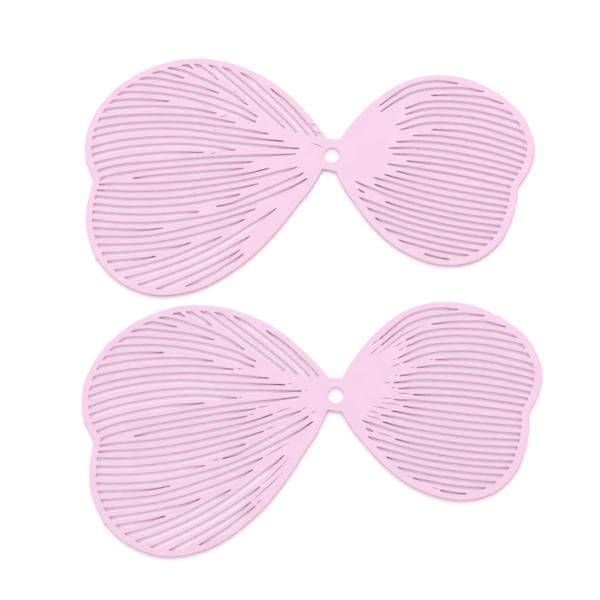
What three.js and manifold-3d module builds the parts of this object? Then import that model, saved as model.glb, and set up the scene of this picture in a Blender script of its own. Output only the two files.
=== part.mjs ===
// A pair of fairy wing charms: two alike plates, each etched from thin sheet metal and painted, lying flat
// beside each other. A plate is a large wing and a small wing joined at a narrow neck, with a round eye in
// the neck for a jump ring. Each wing has two lobes, a rim all round, and long slits that fan out from the
// neck.
// Millimetres, +Z up. The origin is under the middle of the pair, on the surface that it lies on.

import * as THREE from "three";
import { mergeVertices } from "three/addons/utils/BufferGeometryUtils.js";
import Module from "manifold-3d";

// ---- Driving dimensions ----

const CHARM_LENGTH = 50; // across both wings
const THICKNESS = 0.5; // painted sheet
const EYE_DIAMETER = 1.8; // hole in the neck
const LARGE_RIM = 0.65; // solid border outside the slits of the large wing
const SMALL_RIM = 0.8; // solid border outside the slits of the small wing
const SLIT_WIDTH_SCALE = 1; // every slit's width against the widths listed with the slits
const POINT_WIDTH = 0.11; // width that a tapered slit ends in
const NECK_BRIDGE = 0.7; // least metal between the eye and any slit

const CHARM_GAP = 1.1; // along Y, between the front charm's highest point and the rear charm's lowest
const CHARM_SHIFT = 0.62; // the front charm lies this much further to the right
const REAR_TURN = 1.7; // degrees that each charm lies turned, anticlockwise from above
const FRONT_TURN = 7.0;

const OUTLINE_STEP = 1.1; // length of a facet along the outline
const SLIT_STEP = 1.9; // length of a facet along a slit
const EYE_FACETS = 28;
const STUB_FACETS = 12;

// ---- The outline, in the charm's own frame: eye at 0, 0, large wing towards -X ----

const DRAWN_LENGTH = 50; // of the outline as listed
const EYE_CENTRE = [0.06, 0.06];
const LARGE_FORE_EDGE = [
  [-0.42, 2.0], [-2.0, 4.32], [-4.8, 7.63], [-8.1, 10.1], [-11.8, 11.7], [-16.0, 12.22], [-20.45, 11.22],
  [-24.35, 8.75], [-26.78, 5.4], [-27.48, 2.4], [-27.22, 0.2], [-26.48, -1.55],
];
const LARGE_HIND_EDGE = [
  [-26.48, -1.55], [-27.2, -4.3], [-27.35, -7.0], [-26.38, -10.37], [-24.35, -13.1], [-21.27, -14.96],
  [-17.9, -15.41], [-13.97, -14.5], [-9.63, -11.84], [-6.47, -8.83], [-3.93, -5.72], [-2.32, -3.73],
    [-1.0, -1.5],
];
const SMALL_HIND_EDGE = [
  [0.5, -1.89], [1.18, -3.52], [2.3, -5.43], [4.33, -8.38], [6.87, -10.93], [10.07, -12.7], [13.0, -13.27],
  [15.87, -12.71], [18.31, -10.77], [19.6, -8.3], [20.2, -6.4], [20.5, -4.57],
];
const SMALL_FORE_EDGE = [
  [20.5, -4.57], [21.73, -2.68], [22.5, -0.2], [21.88, 2.69], [20.38, 4.98], [17.45, 7.33], [14.6, 8.6],
  [11.5, 8.98], [8.33, 8.33], [4.97, 6.23], [2.38, 3.68], [1.02, 1.83],
];

// Stubs of the tabs that held the plate in its sheet: where on the outline, and radius.
const TAB_STUBS = [[[-27.22, 0.6], 0.2], [[-26.15, -10.75], 0.2], [[18.6, 6.3], 0.3]];

// ---- The slits: width, taper at the outer and the inner end (0 is blunt), centreline inwards ----
// A first point outside the rim leaves the slit to end along the rim. A slit with a long outer taper ends in
// the plate by itself, and the rim doesn't cut it.

const LONG_TAPER = 1.2;
const LARGE_FORE_SLITS = [
  [0.42, 1.0, 0, [-6.65, 8.25], [-5.3, 7.0], [-3.5, 5.0], [-2.1, 3.0], [-1.6, 2.3]],
  [0.47, 0.4, 0.0, [-10.4, 10.8], [-9.4, 9.91], [-7.4, 7.96], [-5.5, 5.96], [-3.8, 3.96], [-2.6, 2.41]],
  [0.42, 0.0, 0, [-12.3, 11.6], [-11.7, 10.95], [-9.6, 8.95], [-7.6, 6.95], [-5.7, 4.95], [-3.9, 2.85]],
  [0.46, 0.0, 0, [-13.9, 12.0], [-12.8, 10.88], [-9.8, 7.98], [-7.8, 5.98], [-5.9, 4.08], [-5.2, 3.38]],
  [0.47, 0.0, 0.9, [-15.5, 12.1], [-14.8, 11.46], [-13.9, 10.66], [-12.5, 9.56]],
  [0.36, 0.0, 0.9, [-16.6, 11.55], [-16.05, 11.5], [-15.3, 10.95]],
  [0.42, 0.3, 1.0, [-18.5, 11.35], [-16.9, 10.9], [-14.0, 9.55], [-11.5, 8.12], [-9.2, 6.37]],
  [0.4, 0.2, 1.6, [-20.2, 10.75], [-19.2, 10.77], [-17.9, 10.42], [-16.3, 9.92]],
  [0.42, 0.2, 2.0, [-21.8, 10.1], [-20.6, 10.15], [-17.0, 9.38], [-14.0, 8.53], [-12.4, 7.95]],
  [0.47, 0.0, 2.0, [-23.3, 9.3], [-21.0, 9.25], [-17.0, 8.5], [-13.0, 7.35], [-10.0, 6.0], [-8.1, 4.9]],
  [0.47, 0.0, 2.0, [-24.6, 8.4], [-22.0, 8.42], [-18.0, 7.9], [-14.0, 6.75], [-10.0, 5.1], [-8.3, 4.3]],
  [0.47, 0.0, 3.0, [-25.7, 7.45], [-22.0, 7.53], [-19.7, 7.38], [-18.0, 7.23]],
  [0.49, 0.0, 3.0, [-26.3, 6.4], [-22.0, 6.65], [-18.0, 6.45], [-14.0, 5.85], [-12.7, 5.55]],
  [0.45, 0.0, 3.0, [-27.1, 5.2], [-24.0, 5.6], [-20.0, 5.64], [-16.0, 5.34], [-12.0, 4.64], [-10.6, 4.34]],
  [0.46, 0.0, 3.5, [-27.5, 4.0], [-24.0, 4.6], [-20.0, 4.75], [-16.0, 4.5], [-12.0, 3.8], [-6.9, 2.85]],
  [0.51, 0.0, 7.0, [-27.8, 3.0], [-24.0, 3.7], [-20.0, 3.93], [-16.0, 3.65], [-12.0, 2.87],
    [-8.0, 2.28], [-5.2, 1.88]],
  [0.48, 0.0, 5.0, [-27.8, 1.8], [-24.0, 2.63], [-20.0, 2.91], [-16.0, 2.76], [-12.0, 2.06],
    [-8.0, 1.46], [-3.5, 0.96]],
  [0.53, 0.0, 2.5, [-27.8, 0.9], [-24.0, 1.68], [-20.0, 2.0], [-16.0, 1.9], [-12.0, 1.3], [-10.6, 1.1]],
  [0.51, 0.0, 4.5, [-27.6, -0.1], [-24.0, 0.62], [-20.0, 1.0], [-16.0, 1.05], [-14.2, 1.0]],
  [0.45, 0.0, 6.0, [-27.2, -1.1], [-24.0, -0.23], [-20.0, 0.0], [-14.0, 0.25], [-8.0, 0.3], [-3.9, 0.35]],
  [0.45, 0.0, 4.0, [-26.7, -1.9], [-24.0, -1.25], [-20.0, -0.85], [-14.0, -0.55], [-8.7, -0.35]],
];
const LARGE_HIND_SLITS = [
  [0.47, 2.5, 3.0, [-22.2, -1.71], [-20.0, -1.61], [-16.0, -1.46], [-12.0, -1.26], [-9.7, -1.06]],
  [0.45, 0.8, 6.0, [-26.5, -2.24], [-22.0, -2.49], [-18.0, -2.49], [-14.0, -2.29], [-10.0, -1.84],
    [-6.9, -1.19]],
  [0.46, 0.8, 2.5, [-26.9, -2.8], [-24.0, -3.25], [-20.0, -3.45], [-16.0, -3.3], [-12.0, -2.9],
    [-8.0, -2.28], [-3.8, -1.2]],
  [0.47, 0.0, 5.0, [-27.4, -3.53], [-24.0, -4.1], [-20.0, -4.35], [-16.0, -4.2], [-12.0, -3.7],
    [-8.1, -2.95]],
  [0.49, 0.0, 2.5, [-27.6, -4.45], [-24.0, -5.05], [-20.0, -5.25], [-16.0, -5.1], [-12.0, -4.5],
    [-10.2, -4.1]],
  [0.5, 0.0, 1.0, [-27.8, -5.33], [-24.0, -5.93], [-20.0, -6.18], [-17.0, -6.08], [-14.8, -5.93]],
  [0.48, 0.0, 5.0, [-27.8, -6.3], [-24.0, -6.92], [-20.0, -7.12], [-16.0, -6.87], [-12.0, -6.23],
    [-8.0, -5.0], [-5.0, -3.78], [-2.7, -2.58]],
  [0.48, 4.0, 2.0, [-12.9, -5.42], [-11.0, -5.1], [-8.0, -4.05], [-5.0, -2.85], [-3.1, -1.9]],
  [0.47, 0.0, 6.0, [-27.8, -7.3], [-24.0, -7.73], [-21.0, -7.83], [-18.8, -7.68]],
  [0.47, 0.0, 3.0, [-27.6, -8.35], [-24.0, -8.6], [-20.5, -8.65], [-17.0, -8.1], [-12.0, -7.0],
    [-8.5, -5.85]],
  [0.49, 0.0, 3.0, [-27.3, -9.35], [-24.0, -9.52], [-20.0, -9.47], [-16.0, -8.87], [-12.0, -7.92],
    [-9.7, -7.02]],
  [0.5, 0.0, 4.0, [-26.8, -10.45], [-22.0, -10.4], [-18.0, -10.05], [-15.7, -9.5]],
  [0.51, 0.0, 4.0, [-26.0, -11.5], [-22.0, -11.26], [-19.6, -10.91]],
  [0.51, 0.0, 2.5, [-25.3, -12.6], [-22.0, -12.2], [-18.0, -11.26], [-14.0, -9.71], [-12.3, -8.91]],
  [0.55, 0.0, 4.0, [-24.4, -13.7], [-20.0, -12.76], [-16.0, -11.49], [-12.0, -9.64], [-8.0, -7.19],
    [-6.2, -5.89]],
  [0.55, 0.0, 3.0, [-23.0, -14.7], [-20.0, -13.83], [-16.0, -12.5], [-12.0, -10.73], [-9.2, -9.0]],
  [0.51, 0.4, 3.0, [-20.4, -15.0], [-18.0, -14.29], [-14.0, -12.66], [-12.0, -11.66], [-10.3, -10.55]],
  [0.47, 2.5, 2.0, [-16.4, -14.53], [-14.0, -13.63], [-12.0, -12.53], [-9.9, -11.03]],
];
const SMALL_FORE_SLITS = [
  [0.47, 2.5, 5.0, [14.4, 7.85], [12.0, 8.15], [10.0, 7.95], [8.0, 7.25], [5.5, 5.6]],
  [0.44, 1.4, 4.5, [17.2, 6.75], [15.6, 7.1], [12.0, 7.3], [10.0, 7.1], [8.0, 6.4], [5.6, 4.9]],
  [0.42, 1.4, 3.0, [19.3, 5.2], [18.0, 5.75], [16.0, 6.13], [14.0, 6.43], [11.3, 6.58]],
  [0.43, 0.3, 2.5, [20.9, 3.68], [18.0, 4.77], [16.0, 5.27], [14.0, 5.62], [12.0, 5.77], [10.0, 5.62],
    [8.3, 5.12]],
  [0.44, 0.0, 2.5, [21.9, 2.4], [19.0, 3.54], [16.0, 4.44], [14.0, 4.79], [12.0, 4.94], [10.0, 4.84],
    [8.3, 4.44]],
  [0.44, 0.0, 2.0, [22.3, 1.28], [20.0, 2.23], [16.0, 3.58], [12.0, 4.13], [10.0, 3.98], [7.2, 3.23]],
  [0.44, 0.0, 2.5, [22.5, 0.11], [20.0, 1.21], [16.0, 2.66], [12.0, 3.21], [10.0, 3.11], [7.7, 2.66]],
  [0.41, 0.0, 3.0, [22.6, -0.7], [20.0, 0.35], [16.0, 1.75], [12.0, 2.5], [11.2, 2.55]],
  [0.4, 0.0, 2.5, [22.5, -1.51], [19.0, -0.11], [16.0, 0.84], [12.0, 1.69], [9.1, 1.94]],
  [0.41, 0.0, 2.0, [22.2, -2.23], [18.0, -0.63], [14.0, 0.47], [10.0, 1.12], [7.2, 1.27]],
  [0.41, 0.0, 2.0, [21.9, -2.85], [18.0, -1.55], [14.0, -0.45], [10.0, 0.3], [6.4, 0.58]],
  [0.4, 0.0, 2.5, [21.5, -3.48], [18.0, -2.37], [14.0, -1.32], [10.0, -0.52], [6.8, -0.12]],
  [0.38, 0.0, 3.0, [21.0, -4.1], [18.0, -3.2], [14.0, -2.1], [10.0, -1.3], [8.3, -1.0]],
];
const SMALL_HIND_SLITS = [
  [0.22, 0.2, 0.2, [2.9, -4.07], [3.25, -4.32], [3.6, -4.52]],
  [0.38, 0.0, 2.0, [20.7, -4.88], [18.0, -4.12], [14.0, -3.02], [10.0, -2.12], [6.2, -1.27]],
  [0.4, 0.0, 3.0, [20.6, -5.62], [18.0, -5.03], [14.0, -4.08], [10.0, -3.03], [7.1, -2.13]],
  [0.43, 0.0, 4.5, [20.5, -6.35], [18.0, -5.83], [14.0, -4.93], [10.0, -3.88], [5.8, -2.48]],
  [0.4, 0.0, 1.0, [20.4, -7.12], [18.0, -6.67], [14.0, -5.77], [10.0, -4.72], [4.6, -2.77]],
  [0.41, 0.0, 4.0, [20.2, -7.77], [18.0, -7.43], [14.0, -6.67], [10.0, -5.57], [7.0, -4.57], [4.7, -3.57]],
  [0.4, 0.0, 0.5, [19.9, -8.53], [18.0, -8.23], [14.0, -7.5], [10.0, -6.4], [6.0, -4.95], [2.6, -3.15]],
  [0.37, 0.0, 3.0, [19.5, -9.28], [16.0, -8.68], [12.0, -7.73], [8.0, -6.53], [5.8, -5.63]],
  [0.38, 0.0, 0.5, [19.0, -9.93], [16.0, -9.48], [12.0, -8.58], [8.0, -7.28], [5.0, -6.03], [2.8, -4.93]],
  [0.38, 0.0, 0.5, [18.6, -10.6], [16.0, -10.22], [12.0, -9.32], [8.0, -8.12], [5.0, -6.87], [3.7, -6.22]],
  [0.39, 0.0, 0.5, [18.0, -11.39], [14.0, -10.64], [10.0, -9.59], [7.0, -8.54], [4.5, -7.44]],
  [0.37, 0.0, 0.5, [16.8, -12.0], [14.0, -11.45], [10.0, -10.4], [7.0, -9.35], [5.4, -8.65]],
  [0.34, 0.0, 1.5, [14.8, -12.33], [12.0, -11.78], [10.0, -11.18], [7.1, -10.13]],
  [0.28, 1.5, 0.3, [12.7, -12.61], [11.4, -12.36], [9.9, -11.86]],
];

// ---- Geometry helpers ----

const wasm = await Module();
wasm.setup();

const drawing = CHARM_LENGTH / DRAWN_LENGTH;
const scaled = (points) => points.map(([x, y]) => new THREE.Vector2(x, y).multiplyScalar(drawing));

// A closed solid from a three.js geometry.
function solid(geometry) {
  geometry.deleteAttribute("normal");
  geometry.deleteAttribute("uv");
  const { index, attributes } = mergeVertices(geometry, 1e-4);
  const vertProperties = new Float32Array(attributes.position.array);
  const triVerts = new Uint32Array(index.array);
  return new wasm.Manifold(new wasm.Mesh({ numProp: 3, vertProperties, triVerts }));
}

// A prism over a polygon, from z = bottom to z = top. ExtrudeGeometry turns a clockwise polygon round itself.
function prism(polygon, bottom, top) {
  const shape = new THREE.Shape(polygon);
  const geometry = new THREE.ExtrudeGeometry(shape, { depth: top - bottom, bevelEnabled: false });
  return solid(geometry.translate(0, 0, bottom));
}

// A cutter is a prism that runs past both faces of the plate.
const cutter = (polygon) => prism(polygon, -THICKNESS, 2 * THICKNESS);

// Evenly spaced points along a smooth curve through the listed ones, without its last point.
function edge(points) {
  const curve = new THREE.SplineCurve(scaled(points));
  return curve.getSpacedPoints(Math.round(curve.getLength() / OUTLINE_STEP)).slice(0, -1);
}

// A circle round a point of the drawing.
const circle = (centre, radius, facets) =>
  Array.from({ length: facets }, (_, i) => {
    const angle = (2 * Math.PI * i) / facets;
    return new THREE.Vector2(radius * Math.cos(angle), radius * Math.sin(angle)).add(scaled([centre])[0]);
  });

// A closed anticlockwise polygon with every side moved inwards by the same distance.
function inset(polygon, distance) {
  return polygon.map((point, i) => {
    const before = point.clone().sub(polygon.at(i - 1)).normalize();
    const after = polygon[(i + 1) % polygon.length].clone().sub(point).normalize();
    const inward = new THREE.Vector2(-before.y - after.y, before.x + after.x).normalize();
    const miter = distance / Math.max(0.5, before.x * inward.y - before.y * inward.x);
    return point.clone().addScaledVector(inward, miter);
  });
}

// ---- One charm ----

const largeWing = [...edge(LARGE_FORE_EDGE), ...edge(LARGE_HIND_EDGE), ...scaled([LARGE_HIND_EDGE.at(-1)])];
const smallWing = [...edge(SMALL_HIND_EDGE), ...edge(SMALL_FORE_EDGE), ...scaled([SMALL_FORE_EDGE.at(-1)])];

// The ribbon that a slit removes: its centreline, with half its width to each side.
function slitOutline([width, outerTaper, innerTaper, ...centreline]) {
  const curve = new THREE.SplineCurve(scaled(centreline));
  const length = curve.getLength();
  const steps = Math.max(4, Math.round(length / SLIT_STEP));
  const full = width * SLIT_WIDTH_SCALE * drawing;
  const rise = (distance, taper) => (taper ? Math.sin((Math.PI / 2) * Math.min(1, distance / taper)) : 1);
  const left = [];
  const right = [];
  for (let i = 0; i <= steps; i++) {
    const along = (length * i) / steps;
    const share = Math.min(rise(along, outerTaper), rise(length - along, innerTaper));
    const half = Math.max(POINT_WIDTH, full * share) / 2;
    const point = curve.getPointAt(i / steps);
    const { x, y } = curve.getTangentAt(i / steps);
    left.push(new THREE.Vector2(point.x - y * half, point.y + x * half));
    right.unshift(new THREE.Vector2(point.x + y * half, point.y - x * half));
  }
  return [...left, ...right];
}

// All the slits of a wing, ended along its rim.
function slits(list, wing, rim) {
  const inside = cutter(inset(wing, rim));
  const cut = (slit) => {
    const ribbon = cutter(slitOutline(slit));
    return slit[1] > LONG_TAPER ? ribbon : ribbon.intersect(inside);
  };
  return list.map(cut).reduce((all, next) => all.add(next));
}

function charmGeometry() {
  let plate = prism([...largeWing, ...smallWing], 0, THICKNESS);
  for (const [centre, radius] of TAB_STUBS) {
    plate = plate.add(prism(circle(centre, radius, STUB_FACETS), 0, THICKNESS));
  }
  const bridge = cutter(circle(EYE_CENTRE, EYE_DIAMETER / 2 + NECK_BRIDGE, EYE_FACETS));
  const openings = slits([...LARGE_FORE_SLITS, ...LARGE_HIND_SLITS], largeWing, LARGE_RIM)
    .add(slits([...SMALL_FORE_SLITS, ...SMALL_HIND_SLITS], smallWing, SMALL_RIM))
    .subtract(bridge);
  const eye = cutter(circle(EYE_CENTRE, EYE_DIAMETER / 2, EYE_FACETS));
  const { vertProperties, triVerts } = plate.subtract(openings).subtract(eye).getMesh();
  return new THREE.BufferGeometry()
    .setAttribute("position", new THREE.BufferAttribute(vertProperties, 3))
    .setIndex(new THREE.BufferAttribute(triVerts, 1));
}

// ---- The pair ----

const pinkPaint = () => new THREE.MeshStandardMaterial({ color: 0xf9d3ee, roughness: 0.55, metalness: 0 });

function charm(name, geometry, turn) {
  const mesh = new THREE.Mesh(geometry, pinkPaint());
  mesh.name = name;
  mesh.rotation.z = THREE.MathUtils.degToRad(turn);
  return mesh;
}

const box = (object) => new THREE.Box3().setFromObject(object, true);

const charmShape = charmGeometry();
const rear = charm("rear_wing_charm", charmShape, REAR_TURN);
const front = charm("front_wing_charm", charmShape, FRONT_TURN);
front.position.set(CHARM_SHIFT, box(rear).min.y - CHARM_GAP - box(front).max.y, 0);
const pair = new THREE.Group();
pair.add(rear, front);

// The origin goes under the middle of the pair.
const middle = box(pair).getCenter(new THREE.Vector3());
pair.position.set(-middle.x, -middle.y, 0);

const fairyWingCharms = new THREE.Group();
fairyWingCharms.add(pair);

export default fairyWingCharms;
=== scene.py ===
"""Looks of a pair of fairy wing charms: thin etched sheet metal with slit veins, sprayed a satin pale pink.

Each charm is one piece. Its outlines come from the top of its CAD node, run smooth between their corners, and
carry a wall with rounded, painted edges. Where a slit's point closed up, a fine groove runs on in the face.
Lengths are in metres, apart from the grooves' listed points.
"""

from math import radians

import bpy
import numpy as np
from mathutils import Matrix, Vector
from mathutils.geometry import delaunay_2d_cdt


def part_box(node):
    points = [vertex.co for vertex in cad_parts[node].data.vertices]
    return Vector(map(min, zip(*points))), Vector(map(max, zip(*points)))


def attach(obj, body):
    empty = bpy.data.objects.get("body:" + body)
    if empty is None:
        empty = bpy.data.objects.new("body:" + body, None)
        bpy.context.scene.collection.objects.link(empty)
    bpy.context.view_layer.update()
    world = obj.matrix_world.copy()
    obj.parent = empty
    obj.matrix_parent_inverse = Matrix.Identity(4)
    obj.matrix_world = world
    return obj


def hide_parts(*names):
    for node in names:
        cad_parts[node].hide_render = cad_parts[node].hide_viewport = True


MM = 0.001

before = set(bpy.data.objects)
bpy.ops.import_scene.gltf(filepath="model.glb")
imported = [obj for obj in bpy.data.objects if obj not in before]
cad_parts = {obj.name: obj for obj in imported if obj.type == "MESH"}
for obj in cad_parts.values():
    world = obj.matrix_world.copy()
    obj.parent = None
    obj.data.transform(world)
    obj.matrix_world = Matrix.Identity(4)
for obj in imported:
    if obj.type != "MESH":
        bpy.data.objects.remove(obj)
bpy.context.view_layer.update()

# ---- Outlines ----

MERGE_STEP = 0.001 * MM  # points nearer than this are one
LEVEL_SLACK = 0.01 * MM  # a point this little below the top still belongs to it
SHARP_CORNER = np.cos(radians(33))  # a facet that turns more than this is a corner, not part of a curve
FINE_STEP = 0.02 * MM
FEWEST_POINTS = 24  # of an outline while it is worked on
CORNER_BLUR = 0.035 * MM  # how far paint and etching soften a corner
BELL_REACH = 3  # where the blur's bell curve is cut off, in blurs
LONGEST_STEP = 0.4 * MM
LARGEST_TURN = radians(9)  # between two points of a finished outline

# ---- Painted edge ----

EDGE_RADIUS = 0.04 * MM
EDGE_ANGLES = np.radians([0, 35, 65, 90])
ETCH_RIDGE = 0.015 * MM  # how far the wall stands out half way down, where the two etched sides met
FLAT_BORDER = 0.02 * MM  # level strip that keeps the face's shading flat
WALL_FADE = 1.5  # how late the wall's painted light sets in round the edge
OPEN_WIDTH = 0.2 * MM  # the walls of a slit this wide get no painted shade
CLOSED_WIDTH = 0.1 * MM  # and those of one this narrow get it in full
TIGHT_REACH = 0.4 * MM  # along the outline, from one side of a slit round its end to the other
WIDE_OPEN = 1.0  # wider than any slit
OUTER_PAINTED_SHADE = 0.3  # painted shade on the wall round the whole charm, standing in for the shade along its foot


def directed_border(triangles):
    """Edges of a surface that only one triangle has, in that triangle's direction, as starts and ends."""
    start = triangles.ravel()
    end = np.roll(triangles, -1, axis=1).ravel()
    size = start.max() + 1
    alone = ~np.isin(start * size + end, end * size + start)
    return start[alone], end[alone]


def loops_in_order(start, end):
    """Splits border edges into closed loops of vertex indices. A loop is known by its lowest vertex, and a
    vertex's place in it by the hops left to that one. Each doubling step looks twice as far ahead."""
    following = np.searchsorted(np.sort(start), end)
    following = following[np.argsort(start)]
    vertex = np.sort(start)
    first = np.arange(len(vertex))
    hop = following.copy()
    for _ in range(len(vertex).bit_length()):
        first = np.minimum(first, first[hop])
        hop = hop[hop]
    at_first = first == np.arange(len(vertex))
    hop = np.where(at_first, np.arange(len(vertex)), following)
    left_to_go = np.where(at_first, 0, 1)
    for _ in range(len(vertex).bit_length()):
        left_to_go = left_to_go + left_to_go[hop]
        hop = hop[hop]
    loops = []
    for label in np.unique(first):
        members = np.flatnonzero(first == label)
        place = (len(members) - left_to_go[members]) % len(members)
        loops.append(vertex[members[np.argsort(place)]])
    return loops


def top_outlines(node):
    """Closed outlines of a CAD node's top face, as arrays of x, y. Metal lies to the left of each."""
    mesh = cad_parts[node].data
    places = np.empty(len(mesh.vertices) * 3, np.float32)
    mesh.vertices.foreach_get("co", places)
    places = places.reshape(-1, 3).astype(float)
    corners = np.empty(len(mesh.loops), np.int32)
    mesh.loops.foreach_get("vertex_index", corners)
    top = places[:, 2].max()
    grid = np.round(places / MERGE_STEP).astype(int)
    _, kept, merged = np.unique(grid, axis=0, return_index=True, return_inverse=True)
    triangles = merged.ravel()[corners].reshape(-1, 3)
    places = places[kept]
    is_top = (places[triangles][:, :, 2] > top - LEVEL_SLACK).all(axis=1)
    loops = loops_in_order(*directed_border(triangles[is_top]))
    return [places[loop][:, :2] for loop in loops]


def hermite(outline):
    """A smooth closed curve through an outline's points, densely sampled. Each part is a cubic. At a
    point its direction is the mean of the two facets' directions, each weighted by the other one's
    length, and at a corner it is the facet's own."""
    ahead = np.roll(outline, -1, axis=0) - outline
    length = np.linalg.norm(ahead, axis=1)
    unit = ahead / length[:, None]
    unit_behind = np.roll(unit, 1, axis=0)
    is_corner = (unit * unit_behind).sum(axis=1) < SHARP_CORNER
    mean = unit * np.roll(length, 1)[:, None] + unit_behind * length[:, None]
    mean = mean / np.linalg.norm(mean, axis=1)[:, None]
    leaving = np.where(is_corner[:, None], unit, mean) * length[:, None]
    arriving = np.where(np.roll(is_corner, -1)[:, None], unit, np.roll(mean, -1, axis=0))
    arriving = arriving * length[:, None]
    count = np.maximum(2, np.ceil(length / FINE_STEP).astype(int))
    part = np.repeat(np.arange(len(outline)), count)
    first = np.repeat(np.cumsum(count) - count, count)
    t = ((np.arange(len(part)) - first) / count[part])[:, None]
    a = outline[part]
    b = np.roll(outline, -1, axis=0)[part]
    return (
        a * (2 * t**3 - 3 * t**2 + 1)
        + leaving[part] * (t**3 - 2 * t**2 + t)
        + b * (3 * t**2 - 2 * t**3)
        + arriving[part] * (t**3 - t**2)
    )


def evenly(outline, step):
    """A closed outline resampled at equal distances, and that distance."""
    closed = np.vstack([outline, outline[:1]])
    travelled = np.concatenate([[0], np.cumsum(np.linalg.norm(np.diff(closed, axis=0), axis=1))])
    count = max(FEWEST_POINTS, int(round(travelled[-1] / step)))
    stations = np.linspace(0, travelled[-1], count, endpoint=False)
    even = np.stack([np.interp(stations, travelled, closed[:, i]) for i in range(2)], axis=1)
    return even, travelled[-1] / count


def softened(outline, step, blur):
    """Each point becomes the average of those round it, weighted by a bell curve as wide as blur."""
    reach = int(np.ceil(BELL_REACH * blur / step))
    weights = np.exp(-0.5 * (np.arange(-reach, reach + 1) * step / blur) ** 2)
    weights /= weights.sum()
    padded = np.vstack([outline[-reach:], outline, outline[:reach]])
    return np.stack([np.convolve(padded[:, i], weights, mode="valid") for i in range(2)], axis=1)


def thinned(outline, step):
    """Keeps a point whenever the distance since the last one, as a share of the longest step, and the
    turn, as a share of the largest turn, add up to one."""
    ahead = np.roll(outline, -1, axis=0) - outline
    heading = np.arctan2(ahead[:, 1], ahead[:, 0])
    turn = np.abs((heading - np.roll(heading, 1) + np.pi) % (2 * np.pi) - np.pi)
    need = np.cumsum(step / LONGEST_STEP + turn / LARGEST_TURN)
    kept = np.flatnonzero(np.floor(need) != np.floor(np.concatenate([[-1], need[:-1]])))
    return outline[kept]


def finished_outline(outline):
    """An outline as etching and paint leave it."""
    even, step = evenly(hermite(outline), FINE_STEP)
    return thinned(softened(even, step, CORNER_BLUR), step)


def outward(outline):
    """Unit vectors off the metal at each point of a closed outline, square to the line between its
    neighbours."""
    along = np.roll(outline, -1, axis=0) - np.roll(outline, 1, axis=0)
    along /= np.linalg.norm(along, axis=1)[:, None]
    return np.stack([along[:, 1], -along[:, 0]], axis=1)


def wall_profile(thickness):
    """Distance off the outline and height of each ring of the wall, from the top face's border to the
    bottom's: a quarter circle, a low ridge half way down, and the same again upside down."""
    round_off = EDGE_RADIUS * (np.sin(EDGE_ANGLES) - 1)
    round_height = EDGE_RADIUS * (np.cos(EDGE_ANGLES) - 1)
    off = np.concatenate([[-EDGE_RADIUS - FLAT_BORDER], round_off, [ETCH_RIDGE]])
    height = np.concatenate([[0], round_height, [-thickness / 2]])
    off = np.concatenate([off, off[-2::-1]])
    height = np.concatenate([height, -thickness - height[-2::-1]])
    return off, height + thickness


def wall_share(off):
    """How much each ring belongs to the wall: the share of the edge's radius that it has come out by, to
    the power of WALL_FADE, so nothing at the face and 1 on the wall."""
    return np.clip(1 + off / EDGE_RADIUS, 0, 1) ** WALL_FADE


def tightness(outline):
    """How much painted shade each point of an outline gets for lying in a narrow place: from the shortest way
    straight across to a part of the outline that is a good way off along it, scaled between the width that
    gets none and the width that gets it in full."""
    following = np.roll(outline, -1, axis=0)
    travelled = np.concatenate([[0], np.cumsum(np.linalg.norm(following - outline, axis=1))])
    place = travelled[:-1]
    along = np.abs(place[:, None] - place[None])
    along = np.minimum(along, travelled[-1] - along)
    across = np.linalg.norm(outline[:, None] - outline[None], axis=2)
    width = np.where(along >= TIGHT_REACH, across, WIDE_OPEN).min(axis=1)
    return np.clip((OPEN_WIDTH - width) / (OPEN_WIDTH - CLOSED_WIDTH), 0, 1)


# ---- Grooves, in a charm's own millimetres: eye at 0, 0, large wing towards -X ----

GROOVE_WIDTH = 0.1 * MM
GROOVE_BED = 0.35  # the deepest ring lies this share of the half width off the groove's middle
GROOVE_DEPTH = 0.05 * MM
GROOVE_MIDDLE = 0.9  # the middle's depth as a share of the deepest ring's
GROOVE_ENDS = (0.12, 0.88)  # the part of half a sine wave that its width and depth follow
GROOVE_STEP = 0.1 * MM
FEWEST_STATIONS = 4
SHORTEST_GROOVE = 3  # in points, after it is cut back to the metal
GROOVE_BORDER = 0.015 * MM
GROOVE_CLEARANCE = 0.085 * MM  # from a groove's line to the nearest outline
TINY_AREA = 1e-18  # keeps a side of no length out of a division

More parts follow.
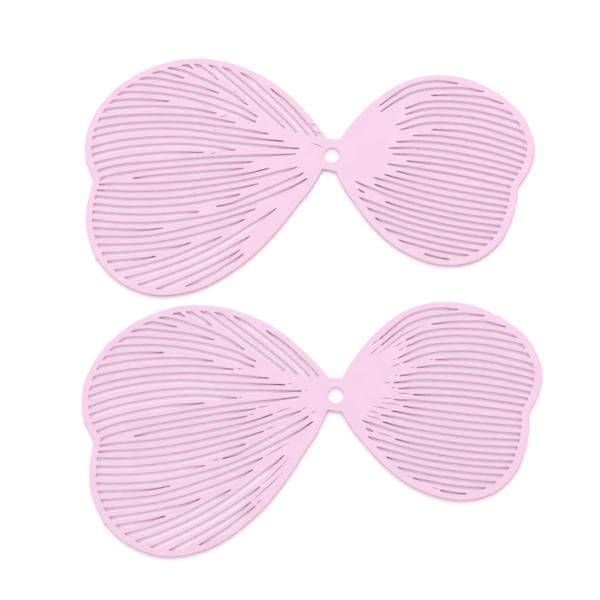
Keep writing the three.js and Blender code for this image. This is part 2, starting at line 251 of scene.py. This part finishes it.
GROOVES = [
    [(-10.8, 4.39), (-9.6, 4.15)],
    [(-5.3, 1.9), (-4.5, 1.83)],
    [(-3.5, 0.96), (-2.9, 0.9)],
    [(-10.8, 1.12), (-10.1, 1.02)],
    [(-9.0, -0.36), (-7.3, -0.3)],
    [(-9.9, -1.07), (-9.0, -0.95)],
    [(-7.0, -1.22), (-5.0, -0.8)],
    [(-4.0, -1.25), (-3.3, -0.98)],
    [(-8.3, -2.99), (-6.9, -2.66)],
    [(-3.3, -2.0), (-2.3, -1.5)],
    [(-14.1, -5.6), (-12.8, -5.41)],
    [(-8.8, -6.0), (-8.0, -5.68), (-5.5, -4.62)],
    [(-12.6, -9.06), (-12.1, -8.76)],
    [(-9.4, -9.12), (-8.0, -8.18), (-5.7, -6.3)],
    [(-10.5, -10.7), (-8.0, -8.92), (-6.6, -7.85)],
    [(-10.0, -11.08), (-9.2, -10.48)],
    [(4.6, 5.05), (5.6, 5.7)],
    [(4.1, 3.85), (5.8, 5.08)],
    [(4.8, 3.72), (6.0, 4.47), (8.0, 5.71), (10.0, 6.42), (11.4, 6.58)],
    [(6.9, 4.45), (8.5, 5.2)],
    [(7.3, 3.98), (8.5, 4.5)],
    [(6.7, 3.07), (7.4, 3.27)],
    [(6.3, 2.27), (7.9, 2.72)],
    [(10.6, 2.58), (11.4, 2.55)],
    [(8.4, 2.0), (9.3, 1.94)],
    [(6.6, 1.27), (7.4, 1.25)],
    [(5.3, 0.6), (6.6, 0.58)],
    [(6.1, -0.03), (7.0, -0.15)],
    [(6.6, -0.68), (8.5, -1.03)],
    [(4.9, -0.98), (6.4, -1.31)],
    [(4.7, -1.5), (6.0, -1.81), (7.3, -2.18)],
    [(3.8, -1.78), (5.0, -2.15), (5.9, -2.51)],
    [(3.4, -2.23), (4.7, -2.82)],
    [(3.1, -2.73), (4.0, -3.13), (4.9, -3.66)],
    [(3.6, -4.57), (5.0, -5.18), (6.0, -5.73)],
    [(6.6, -9.88), (7.3, -10.23)],
    [(9.1, -11.5), (10.1, -11.94)],
]


def on_metal(points, outlines, distance):
    """Which points lie on the metal, a distance or more from every side of every outline. A point is on
    the metal if a line from it towards +X crosses the outlines an odd number of times."""
    start = np.vstack(outlines)
    end = np.vstack([np.roll(outline, -1, axis=0) for outline in outlines])
    x = points[:, :1]
    y = points[:, 1:]
    straddles = (start[:, 1] > y) != (end[:, 1] > y)
    rise = np.where(end[:, 1] == start[:, 1], 1, end[:, 1] - start[:, 1])
    crossing = start[:, 0] + (y - start[:, 1]) / rise * (end[:, 0] - start[:, 0])
    odd = (straddles & (crossing > x)).sum(axis=1) % 2 == 1
    side = end - start
    share = ((points[:, None] - start) * side).sum(axis=2)
    share = np.clip(share / np.maximum((side**2).sum(axis=1), TINY_AREA), 0, 1)
    nearest = start + share[:, :, None] * side
    gap = np.linalg.norm(points[:, None] - nearest, axis=2).min(axis=1)
    return odd & (gap >= distance)


def longest_run(chosen):
    """The longest unbroken stretch of a row of true and false, as a slice."""
    changes = np.flatnonzero(np.diff(np.concatenate([[False], chosen, [False]]).astype(int)))
    if not len(changes):
        return slice(0, 0)
    starts = changes[::2]
    ends = changes[1::2]
    best = int(np.argmax(ends - starts))
    return slice(starts[best], ends[best])


def groove_line(points):
    """Points along a groove, equally spaced."""
    listed = np.array(points, float) * MM
    travelled = np.concatenate([[0], np.cumsum(np.linalg.norm(np.diff(listed, axis=0), axis=1))])
    count = max(FEWEST_STATIONS, int(np.ceil(travelled[-1] / GROOVE_STEP)) + 1)
    stations = np.linspace(0, travelled[-1], count)
    return np.stack([np.interp(stations, travelled, listed[:, i]) for i in range(2)], axis=1)


def groove_rings(line):
    """A groove's border, its lip, its deepest ring and its middle line, each with its depth as a share.
    Width and depth follow half a sine wave from end to end."""
    along = np.gradient(line, axis=0)
    along /= np.linalg.norm(along, axis=1)[:, None]
    across = np.stack([-along[:, 1], along[:, 0]], axis=1)
    fade = np.sin(np.pi * np.linspace(*GROOVE_ENDS, len(line)))
    rings = []
    for share, extra, depth in ((1, GROOVE_BORDER, 0), (1, 0, 0), (GROOVE_BED, 0, 1)):
        half = across * (share * GROOVE_WIDTH / 2 * fade[:, None] + extra)
        tips = along[[0, -1]] * (share * GROOVE_WIDTH / 2 + extra)
        there = [line[:1] - tips[:1], line - half]
        back = [line[-1:] + tips[1:], (line + half)[::-1]]
        ring = np.vstack(there + back)
        deep = np.concatenate([[0], fade, [0], fade[::-1]])
        rings.append((ring, depth * deep))
    return rings + [(line, GROOVE_MIDDLE * fade)]


# ---- Meshes ----

CDT_EVERYTHING = 0  # the filling keeps every triangle and says which borders hold it
CDT_NEARNESS = 1e-6  # in mm


def ring_edges(start, count):
    """Edges of a closed ring of points numbered from start."""
    number = np.arange(count)
    return np.stack([start + number, start + (number + 1) % count], axis=1)


def face_triangles(borders, grooves):
    """Fills the face that lies to the left of every border. Returns its points, how deep each lies in a
    groove as a share, and its triangles."""
    parts = []
    edges = []
    depth = []
    faces = []
    used = 0
    for border in borders:
        edges.append(ring_edges(used, len(border)))
        faces.append(list(range(used, used + len(border))))
        parts.append(border)
        depth.append(np.zeros(len(border)))
        used += len(border)
    for rings in grooves:
        for ring, deep in rings:
            edges.append(ring_edges(used, len(ring)))
            parts.append(ring)
            depth.append(deep)
            used += len(ring)
        edges[-1] = edges[-1][:-1]
    points = np.vstack(parts)
    in_mm = [Vector(point) for point in (points / MM).tolist()]
    joined = np.vstack(edges).tolist()
    found = delaunay_2d_cdt(in_mm, joined, faces, CDT_EVERYTHING, CDT_NEARNESS)
    _, _, filled, point_sources, _, face_sources = found
    came_from = np.array([sources[0] if sources else -1 for sources in point_sources])
    if (came_from < 0).any() or len(came_from) != len(points):
        raise RuntimeError("outlines cross or touch")
    on_every_left = [len(sources) == len(borders) for sources in face_sources]
    triangles = came_from[np.array(filled)[on_every_left]]
    return points, np.concatenate(depth), triangles


def band_triangles(rings, points_per_ring):
    """Two triangles for each cell between neighbouring rings of a closed wall. The points are numbered
    ring by ring."""
    column = np.arange(points_per_ring)
    following = (column + 1) % points_per_ring
    row = np.arange(rings - 1)[:, None] * points_per_ring
    a = row + column
    b = row + following
    c = a + points_per_ring
    d = b + points_per_ring
    return np.stack([a, c, b, b, c, d], axis=2).reshape(-1, 3)


def new_mesh(name, points, triangles, attributes):
    """A mesh object from arrays, shaded smooth, with a float attribute for each named array."""
    mesh = bpy.data.meshes.new(name)
    mesh.vertices.add(len(points))
    mesh.vertices.foreach_set("co", points.astype(np.float32).ravel())
    mesh.loops.add(triangles.size)
    mesh.loops.foreach_set("vertex_index", triangles.astype(np.int32).ravel())
    mesh.polygons.add(len(triangles))
    mesh.polygons.foreach_set("loop_start", np.arange(0, triangles.size, 3, dtype=np.int32))
    mesh.polygons.foreach_set("loop_total", np.full(len(triangles), 3, np.int32))
    mesh.polygons.foreach_set("use_smooth", np.ones(len(triangles), bool))
    for attribute, values in attributes.items():
        layer = mesh.attributes.new(attribute, "FLOAT", "POINT")
        layer.data.foreach_set("value", values.astype(np.float32))
    mesh.update(calc_edges=True)
    mesh.validate()
    piece = bpy.data.objects.new(name, mesh)
    bpy.context.scene.collection.objects.link(piece)
    return piece


def fitted_grooves(borders, eye, turn):
    """The grooves of a charm, turned and moved with it, and cut back to where they lie clear on the
    metal."""
    spin = np.array([[np.cos(turn), np.sin(turn)], [-np.sin(turn), np.cos(turn)]])
    grooves = []
    for listed in GROOVES:
        line = groove_line(listed) @ spin + eye
        line = line[longest_run(on_metal(line, borders, GROOVE_CLEARANCE))]
        if len(line) >= SHORTEST_GROOVE:
            grooves.append(groove_rings(line))
    return grooves


def painted_faces(places, depth, triangles, bottom, top):
    """The top face and, turned over, the same for the bottom, both sunk along the grooves. Returns
    points, each point's shares of groove, painted light on the wall and painted shade, and triangles."""
    upper = np.column_stack([places, top - GROOVE_DEPTH * depth])
    lower = np.column_stack([places, bottom + GROOVE_DEPTH * depth])
    shares = np.column_stack([depth, np.zeros((len(depth), 2))])
    both = [triangles, len(depth) + triangles[:, ::-1]]
    return np.vstack([upper, lower]), np.vstack([shares, shares]), np.vstack(both)


def painted_wall(outline, off, height, shade_weight):
    """The rings of a wall between the two faces' borders: the outline moved off by each ring's distance.
    Returns points and each point's shares of groove, painted light on the wall and painted shade."""
    rings = np.array([outline + outward(outline) * distance for distance in off])
    points = np.column_stack([rings.reshape(-1, 2), np.repeat(height, len(outline))])
    share = wall_share(off)
    edge = np.repeat(share, len(outline))
    painted_shade = np.outer(share, shade_weight).ravel()
    return points, np.column_stack([np.zeros(len(points)), edge, painted_shade])


def centre_of_roundest(outlines):
    """The middle of the outline whose box is nearest to a square, which is the eye."""
    roundness = [min(np.ptp(o, axis=0)) / max(np.ptp(o, axis=0)) for o in outlines]
    return outlines[int(np.argmax(roundness))].mean(axis=0)


def charm(name, node, turn):
    """One painted charm: smooth outlines, walls with rounded edges, two faces, and fine grooves in both."""
    low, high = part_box(node)
    outlines = [finished_outline(outline) for outline in top_outlines(node)]
    outlines.sort(key=lambda outline: -np.ptp(outline[:, 0]))
    off, height = wall_profile(high.z - low.z)
    borders = [outline + outward(outline) * off[0] for outline in outlines]
    grooves = fitted_grooves(borders, centre_of_roundest(outlines), turn)
    places, depth, filling = face_triangles(borders, grooves)
    points, shares, triangles = painted_faces(places, depth, filling, low.z, high.z)
    all_points = [points]
    all_shares = [shares]
    all_triangles = [triangles]
    used = len(points)
    border_start = 0
    for outline in outlines:
        # painted shade in narrow places and, weaker, on the whole outer wall
        shade_weight = np.maximum(tightness(outline), OUTER_PAINTED_SHADE * (outline is outlines[0]))
        points, shares = painted_wall(outline, off[1:-1], low.z + height[1:-1], shade_weight)
        border = border_start + np.arange(len(outline))
        number = np.concatenate([border, used + np.arange(len(points)), len(depth) + border])
        all_points.append(points)
        all_shares.append(shares)
        all_triangles.append(number[band_triangles(len(off), len(outline))])
        used += len(points)
        border_start += len(outline)
    # the edge share places the walls' painted light, the third share places painted shade
    groove, edge, painted_shade = np.vstack(all_shares).T
    attributes = {"groove": groove, "edge": edge, "painted_shade": painted_shade}
    return new_mesh(name, np.vstack(all_points), np.vstack(all_triangles), attributes)


# ---- Materials ----


PINK = (0.773, 0.529, 0.686, 1)
PINK_DEEP = (0.749, 0.508, 0.662, 1)
# paler than the face: painted light on the walls, standing in for light reaching into the slits
WALL_PAINTED_LIGHT_PINK = (0.86, 0.61, 0.765, 1)
# dark mauve painted shade, laid in narrow slit ends, on the outer wall and in the grooves
DARK_PAINTED_SHADE = (0.18, 0.11, 0.15, 1)
TABLE_PINK_BOUNCE = (0.97, 0.915, 0.95, 1)  # white with a faint pink cast: painted reflection standing in for pink light bounced off the charms and for colour bleeding into the slits
TABLE_ROUGHNESS = 0.9

CLOUD_SCALE = 450  # patches per metre, as for the others
SHEEN_SCALE = 900
PEEL_SCALE = 6000
CLOUD_DETAIL = 3
FINE_DETAIL = 2
NOISE_LOW = 0.3  # the noise that becomes a pattern's low end
NOISE_HIGH = 0.7
SMOOTHEST = 0.42
ROUGHEST = 0.52
PEEL_STRENGTH = 0.15
PEEL_HEIGHT = 0.004 * MM

FIRST_COLOUR = 6  # sockets of a Mix node that mixes colours
SECOND_COLOUR = 7
MIXED_COLOUR = 2


def new_material(name):
    """A node material, its tree and its shader."""
    material = bpy.data.materials.new(name)
    material.use_nodes = True
    tree = material.node_tree
    shader = tree.nodes["Principled BSDF"]
    return material, tree, shader


def pattern(tree, scale, detail, low, high):
    """Smooth noise that keeps still on the metal, with its middle values stretched to run from low to
    high."""
    place = tree.nodes.new("ShaderNodeTexCoord")
    noise = tree.nodes.new("ShaderNodeTexNoise")
    noise.inputs["Scale"].default_value = scale
    noise.inputs["Detail"].default_value = detail
    spread = tree.nodes.new("ShaderNodeMapRange")
    spread.inputs["From Min"].default_value = NOISE_LOW
    spread.inputs["From Max"].default_value = NOISE_HIGH
    spread.inputs["To Min"].default_value = low
    spread.inputs["To Max"].default_value = high
    tree.links.new(place.outputs["Object"], noise.inputs["Vector"])
    tree.links.new(noise.outputs["Fac"], spread.inputs["Value"])
    return spread.outputs["Result"]


def mixed(tree, share, first, second):
    """The first colour, turning into the second as the share grows. Either may be a colour or a node's
    output."""
    mix = tree.nodes.new("ShaderNodeMix")
    mix.data_type = "RGBA"
    tree.links.new(share, mix.inputs["Factor"])
    for socket, colour in ((mix.inputs[FIRST_COLOUR], first), (mix.inputs[SECOND_COLOUR], second)):
        if isinstance(colour, tuple):
            socket.default_value = colour
        else:
            tree.links.new(colour, socket)
    return mix.outputs[MIXED_COLOUR]


def painted_on(tree, attribute):
    """A mesh attribute as a number."""
    node = tree.nodes.new("ShaderNodeAttribute")
    node.attribute_name = attribute
    return node.outputs["Fac"]


def pink_paint():
    """Satin pink spray paint: faintly clouded, paler on the walls by painted light, darkened by painted
    shade in tight places and in the grooves, with a fine orange peel."""
    material, tree, shader = new_material("satin_pink_paint")
    face = mixed(tree, pattern(tree, CLOUD_SCALE, CLOUD_DETAIL, 0, 1), PINK, PINK_DEEP)
    # painted light: the walls paler than the face
    wall_lit = mixed(tree, painted_on(tree, "edge"), face, WALL_PAINTED_LIGHT_PINK)
    # painted shade where slits narrow and on the outer wall
    with_painted_shade = mixed(tree, painted_on(tree, "painted_shade"), wall_lit, DARK_PAINTED_SHADE)
    # painted shade: darker along the grooves
    grooved = mixed(tree, painted_on(tree, "groove"), with_painted_shade, DARK_PAINTED_SHADE)
    tree.links.new(grooved, shader.inputs["Base Color"])
    sheen = pattern(tree, SHEEN_SCALE, FINE_DETAIL, SMOOTHEST, ROUGHEST)
    tree.links.new(sheen, shader.inputs["Roughness"])
    peel = tree.nodes.new("ShaderNodeBump")
    peel.inputs["Strength"].default_value = PEEL_STRENGTH
    peel.inputs["Distance"].default_value = PEEL_HEIGHT
    tree.links.new(pattern(tree, PEEL_SCALE, FINE_DETAIL, 0, 1), peel.inputs["Height"])
    tree.links.new(peel.outputs["Normal"], shader.inputs["Normal"])
    return material


def pale_table():
    """The plain white surface under the charms, very slightly pink as a painted reflection of the charms'
    pink bounce light.
    """
    material, _, shader = new_material("pale_table")
    shader.inputs["Base Color"].default_value = TABLE_PINK_BOUNCE
    shader.inputs["Roughness"].default_value = TABLE_ROUGHNESS
    return material


# ---- Scene ----

REAR_TURN = radians(1.7)
FRONT_TURN = radians(7.0)

paint = pink_paint()
for name, node, body, turn in (
    ("rear_painted_charm", "rear_wing_charm", "rear_charm", REAR_TURN),
    ("front_painted_charm", "front_wing_charm", "front_charm", FRONT_TURN),
):
    piece = charm(name, node, turn)
    piece.data.materials.append(paint)
    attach(piece, body)
    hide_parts(node)

FLOOR_HALF = 1.0
FLOOR_DROP = 0.005 * MM  # keeps the floor clear of the charms' backs


def pale_floor():
    """A flat square of table just under the charms."""
    corners = np.array([(-1, -1, 0), (1, -1, 0), (1, 1, 0), (-1, 1, 0)], float) * FLOOR_HALF
    floor = new_mesh("table", corners - (0, 0, FLOOR_DROP), np.array([(0, 1, 2), (0, 2, 3)]), {})
    floor.data.materials.append(pale_table())


pale_floor()

CAMERA_AZIMUTH = radians(-14)
CAMERA_ELEVATION = radians(73)
CAMERA_DISTANCE = 311.04 * MM
CAMERA_LENS = 170.66
SENSOR = 36  # the lens and the sensor are in millimetres
NEAREST_SEEN = 0.01
FARTHEST_SEEN = 10
AIM = Vector((-1.028, -0.024, 0.5)) * MM


def camera():
    """A long lens high in front, turned about its own axis so that the charms lie level in the picture."""
    a = CAMERA_AZIMUTH
    e = CAMERA_ELEVATION
    forward = Vector((np.sin(a), np.cos(a), 0))
    level = Vector((np.cos(a), -np.sin(a), 0))
    back = -forward * np.cos(e) + Vector((0, 0, np.sin(e)))
    up = forward * np.sin(e) + Vector((0, 0, np.cos(e)))
    right = level * np.cos(a) + up * np.sin(a)
    upright = up * np.cos(a) - level * np.sin(a)
    data = bpy.data.cameras.new("camera")
    data.lens = CAMERA_LENS
    data.sensor_width = SENSOR
    data.clip_start = NEAREST_SEEN
    data.clip_end = FARTHEST_SEEN
    seen = bpy.data.objects.new("camera", data)
    turn = Matrix((right, upright, back)).transposed()
    seen.matrix_world = Matrix.Translation(AIM + back * CAMERA_DISTANCE) @ turn.to_4x4()
    bpy.context.scene.collection.objects.link(seen)
    bpy.context.scene.camera = seen


KEY_PLACE = (0.05, 0.45, 0.65)
KEY_SIZE = 0.6
KEY_POWER = 2.4
ROOM_WHITE = (1, 1, 1, 1)
ROOM_BRIGHTNESS = 0.93


def area_light(name, place, size, power):
    """A square soft light aimed at the middle of the charms."""
    data = bpy.data.lights.new(name, "AREA")
    data.size = size
    data.energy = power
    light = bpy.data.objects.new(name, data)
    light.location = place
    light.rotation_euler = (-Vector(place)).to_track_quat("-Z", "Y").to_euler()
    bpy.context.scene.collection.objects.link(light)


def surroundings():
    """An even white room."""
    world = bpy.data.worlds.new("room")
    world.use_nodes = True
    background = world.node_tree.nodes["Background"]
    background.inputs["Color"].default_value = ROOM_WHITE
    background.inputs["Strength"].default_value = ROOM_BRIGHTNESS
    bpy.context.scene.world = world


camera()
area_light("key", KEY_PLACE, KEY_SIZE, KEY_POWER)
surroundings()
bpy.context.scene.view_settings.view_transform = "Standard"
